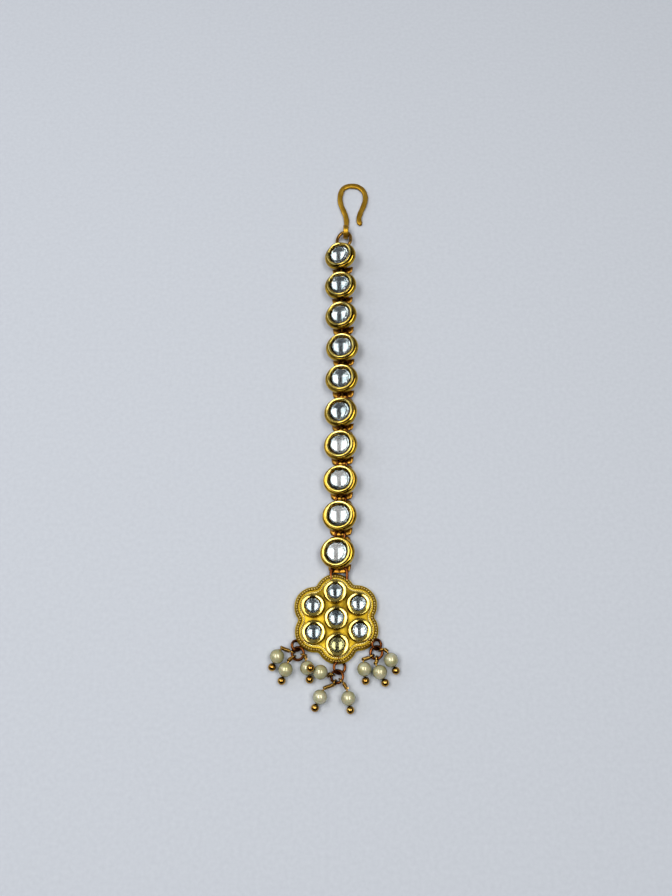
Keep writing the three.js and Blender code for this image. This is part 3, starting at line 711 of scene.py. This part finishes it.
bezel_spots = [(0.0, 0.0)]
for k in range(6):
    a = math.pi / 2 - k * petal_step
    bezel_spots.append((bezel_ring * math.cos(a), bezel_ring * math.sin(a)))
bezel_foot, bezel_floor, bezel_bed = bezel_radius + 0.22, 1.0, 2.08
bezel_profile = rounded([
    (0, bezel_floor), (bezel_foot, bezel_floor, 0.1), (bezel_foot, plate_thickness + 0.7, 0.15),
    (bezel_radius + 0.05, bezel_top - 0.08, 0.2), (bezel_radius - 0.16, bezel_top, 0.16),
    (flower_stone_radius + 0.3, bezel_top - 0.13, 0.3), (flower_stone_radius + 0.06, bezel_top - 0.36, 0.1),
    (flower_stone_radius - 0.08, bezel_top - 0.62, 0.05), (flower_stone_radius - 0.1, bezel_bed, 0),
    (0, bezel_bed)], 5)
for x, y in bezel_spots:
    body.append((moved(turned(bezel_profile, 48), Matrix.Translation((x, y, 0))), rim_mark))

# The lower loops lie along the way their drop rings hang. Each is given by its drop ring, where it
# sits round the flower, its width over all, and the way it lies, in degrees.
loop_wire, loop_tuck, loop_roll, puddle_radius = 0.8, 0.145, math.radians(-25), 0.75
puddle = rounded([(0, 0), (puddle_radius, 0, 0.1), (puddle_radius, plate_thickness - 0.2, 0.2),
                  (puddle_radius - 0.4, plate_thickness + 0.1, 0.2), (0, plate_thickness + 0.12)])
lower_loops = [("left", 212, 3.3, 281), ("middle", 271.6, 3.9, 255), ("right", 325, 3.3, 268)]
for name, side, width, heading in lower_loops:
    way = Vector((math.cos(math.radians(side)), math.sin(math.radians(side)), 0))
    spot = way * (petal_reach + width / 4 - loop_tuck)
    spot.z = placed(f"drop_ring_{name}")[0][2]
    lie = (Matrix.Translation(spot) @ Matrix.Rotation(math.radians(heading) - flower_twist, 4, "Z")
           @ Matrix.Rotation(loop_roll, 4, "X"))
    body.append((moved(wire_ring((width - loop_wire) / 2, loop_wire), lie), loop_mark))
    root = Matrix.Translation(way * (petal_reach - loop_wire * 2))
    body.append((moved(turned(puddle, 20), root), loop_mark))

# The top loop is a square-cornered bow of wire under the last link's eye.
top_wire, top_width, top_reach = 0.9, 5.1, 1.6
top_half, top_place = (top_width - top_wire) / 2, petal_reach + top_reach
top_root = petal_reach - petal_radius / 3
corner = top_reach * 0.6
half_bow = [(top_half, top_root), (top_half, top_place - corner),
            (top_half - corner * 0.3, top_place - corner * 0.3), (top_half - corner, top_place)]
top_points = [(-x, y) for x, y in half_bow] + half_bow[::-1]
last_eye = link_frames[-1][:3, 3] - flower_origin
top_path = smooth_path([(x + last_eye[0], y, last_eye[2]) for x, y in top_points], 5)
body = [(moved(form, to_flower), mark) for form, mark in body]
top_loop = moved(swept(top_path, round_wire(top_wire / 2)), Matrix.Translation(flower_origin.tolist()))
crafted("flower_body", [*body, (top_loop, loop_mark)], flower_finishes,
        stands_for=("flower_pendant",))

flower_stone_height, flower_stone_seat, flower_foil_tilt = 0.85, 2.12, math.radians(0.5)
bottom_stone, flower_facet_step = 4, 17
for index, (x, y) in enumerate(bezel_spots):
    clear, foil = cut_crystal(flower_stone_radius, flower_stone_height, 0.0, flower_foil_tilt)
    seat = to_flower @ Matrix.Translation((x, y, flower_stone_seat))
    facet_turn = Matrix.Rotation(math.radians(flower_facet_step * index), 4, "Z")
    packed_stone = "flower_stone_centre" if index == 0 else f"flower_stone_{index}"
    glass = yellowed_glass if index == bottom_stone else lead_glass
    crafted(f"flower_crystal_{index}", [(moved(clear, seat @ facet_turn), 0), (moved(foil, seat), 1)],
            [glass, mirror_foil], sharp=9, stands_for=(packed_stone,))


# Drop rings, pins and pearls
# Three jump rings at the lower petals carry nine pearl drops. Each pearl sits on a ball-ended
# pin, and the pin's tail is turned into a loop on the ring and wrapped round its own neck.
drop_ring_radius, drop_ring_wire = 1.6, 0.76
for name in ("left", "middle", "right"):
    middle, axis = placed(f"drop_ring_{name}")
    ring = moved(wire_ring(drop_ring_radius, drop_ring_wire, 44), aligned(middle, axis))
    crafted(f"drop_jump_{name}", [(ring, 0)], [ring_gold],
            stands_for=(f"drop_ring_{name}",))

pearl_radius, ball_radius, pin_wire, pin_loop, wrap_radius = 1.9, 1.04, 0.46, 1.0, 0.56
ball_reach = pearl_radius + ball_radius + 0.07
# Each drop, in degrees: where its loop sits round its ring, the way its ball points on the table,
# and how far the pin rises. The lying ones dip, because a ball is smaller than a pearl.
lying = -14.454
drops = [
    ("left_outer", 162, 244, lying), ("left_inner", 215, 250, lying), ("left_near", 350, 282, lying),
    ("middle_high", 155, 160.11, 28.197), ("middle_left", 250, 244, lying), ("middle_right", 318, 280, lying),
    ("right_near", 215, 277, lying), ("right_inner", 277, 298, lying), ("right_outer", 22, 295, lying)]


def pearl_nacre(name, high, low, shade):
    """Pearl lacquer over glass: a soft cream body, painted darker green-grey towards its edge as shade, and a
    glossy skin.
    """
    made, tree, shader, place = material(name)
    cloud = node(tree, "ShaderNodeTexNoise", {"Scale": 260.0, "Detail": 3.0}, Vector=place)
    tone = node(tree, "ShaderNodeValToRGB", Fac=cloud.outputs["Fac"])
    tone.color_ramp.elements[0].position = 0.35
    tone.color_ramp.elements[0].color = rgb(low)
    tone.color_ramp.elements[1].position = 0.7
    tone.color_ramp.elements[1].color = rgb(high)
    # Layer Weight's Facing paints shade: the colour goes to the dark green-grey shade colour towards the
    # edge.
    painted_edge_shade = node(tree, "ShaderNodeLayerWeight", {"Blend": 0.45})
    tone_with_painted_edge_shade = node(tree, "ShaderNodeMix", {"data_type": "RGBA"})
    tree.links.new(painted_edge_shade.outputs["Facing"], tone_with_painted_edge_shade.inputs[0])
    tree.links.new(tone.outputs["Color"], tone_with_painted_edge_shade.inputs[6])
    tone_with_painted_edge_shade.inputs[7].default_value = rgb(shade)
    tree.links.new(tone_with_painted_edge_shade.outputs[2], shader.inputs["Base Color"])
    shader.inputs["Metallic"].default_value = 0.25
    shader.inputs["Coat Weight"].default_value = 0.6
    shader.inputs["Coat Roughness"].default_value = 0.08
    shader.inputs["Subsurface Weight"].default_value = 0.15
    shader.inputs["Subsurface Scale"].default_value = 0.4 * MM
    pits = node(tree, "ShaderNodeTexNoise", {"Scale": 1500.0, "Detail": 4.0}, Vector=place)
    skin = {"From Min": 0.3, "From Max": 0.8, "To Min": 0.17, "To Max": 0.3}
    satin = node(tree, "ShaderNodeMapRange", skin, Value=pits.outputs["Fac"])
    tree.links.new(satin.outputs[0], shader.inputs["Roughness"])
    ripple = {"Strength": 0.12, "Distance": 0.02 * MM}
    relief = node(tree, "ShaderNodeBump", ripple, Height=pits.outputs["Fac"])
    tree.links.new(relief.outputs[0], shader.inputs["Normal"])
    return made


# Pin wire has a warm gloss, and grime and painted shade darken it between its turns. The pearls' lacquer is a
# yellowish cream, painted darker green-grey towards the edge as shade, with a soft bright spot on top.
pin_gold = gilded("gold_plated_pin_wire", "#dcb45c", "#98691f", "#1a0902", 0.15, 0.3, 0.6)
nacre = pearl_nacre("pearl_lacquer_on_glass", "#ebe6c6", "#cac68f", "#4a4f22")


def facing(origin, axis):
    """A matrix at an origin with Z along an axis."""
    turn = Vector((0, 0, 1)).rotation_difference(Vector(axis)).to_matrix().to_4x4()
    return Matrix.Translation(tuple(origin)) @ turn


def drop_hang(ring, side):
    """Where a pin's loop sits on its jump ring, and the direction of the ring's wire there."""
    middle, axis = placed(f"drop_ring_{ring}")
    level = np.cross((0, 0, 1), axis)
    level /= np.linalg.norm(level)
    across = np.cross(axis, level)
    around = math.radians(side) - math.atan2(level[1], level[0])
    out = math.cos(around) * level + math.sin(around) * across
    return middle + drop_ring_radius * out, math.cos(around) * across - math.sin(around) * level


bore_radius, lip_depth, wrap_wire, pin_gap = 0.385, 0.06, 0.34, 0.16
loop_radius = (pin_loop + pin_wire) / 2
mouth_angle = math.asin(bore_radius / pearl_radius)
for name, side, way, rise in drops:
    hang, tangent = drop_hang(name.split("_")[0], side)
    pearl = placed(f"pearl_{name}")[0]
    way, rise = math.radians(way), math.radians(rise)
    pointing = np.array([math.cos(way) * math.cos(rise), math.sin(way) * math.cos(rise), math.sin(rise)])
    bend = pearl - pointing * (pearl_radius + pin_gap + wrap_radius * 0.7)
    to_bend = bend - hang
    in_plane = to_bend - tangent * np.dot(to_bend, tangent)
    rim = hang + in_plane / np.linalg.norm(in_plane) * loop_radius
    neck = rim - bend
    neck_length = np.linalg.norm(neck)
    ball_middle = pearl + pointing * ball_reach
    mouth = pearl - pointing * (pearl_radius + 0.05)
    shank = smooth_path([ball_middle, pearl, mouth, bend + neck * 0.25, rim], 5)
    ball = [(ball_radius * math.sin(a), -ball_radius * math.cos(a)) for a in np.linspace(0, math.pi, 17)]
    ball[0], ball[-1] = (0, -ball_radius), (0, ball_radius)
    turns = max(2, round((neck_length - 0.05) / wrap_wire))
    coil_length = min(neck_length - 0.05, turns * wrap_wire)
    coil_radius = wrap_radius - wrap_wire / 2
    coil = []
    for t in np.linspace(0, 1, turns * 14 + 1):
        a = 2 * math.pi * turns * t
        coil.append((coil_radius * math.cos(a), coil_radius * math.sin(a), t * coil_length))
    coil_foot = facing(bend - neck / neck_length * 0.1, neck / neck_length)
    forms = [swept(shank, round_wire(pin_wire / 2, 10)),
             moved(turned(ball, 32), facing(ball_middle, pointing)),
             moved(swept(coil, round_wire(wrap_wire / 2, 8)), coil_foot),
             moved(wire_ring(loop_radius, pin_wire, 32, 10), facing(hang, tangent))]
    crafted(f"pin_{name}", [(form, 0) for form in forms], [pin_gold], sharp=60,
            stands_for=(f"headpin_{name}",))
    arc = np.linspace(math.pi - mouth_angle, mouth_angle, 30)
    bead = [(pearl_radius * math.sin(a), pearl_radius * math.cos(a)) for a in arc]
    lip_height = pearl_radius * math.cos(mouth_angle) - lip_depth
    bore = [(bore_radius - 0.04, lip_height), (bore_radius - 0.06, 0), (bore_radius - 0.04, -lip_height)]
    drilled = moved(turned(bead + bore + bead[:1], 40), facing(pearl, pointing))
    crafted(f"bead_{name}", [(drilled, 0)], [nacre], sharp=50,
            stands_for=(f"pearl_{name}",))
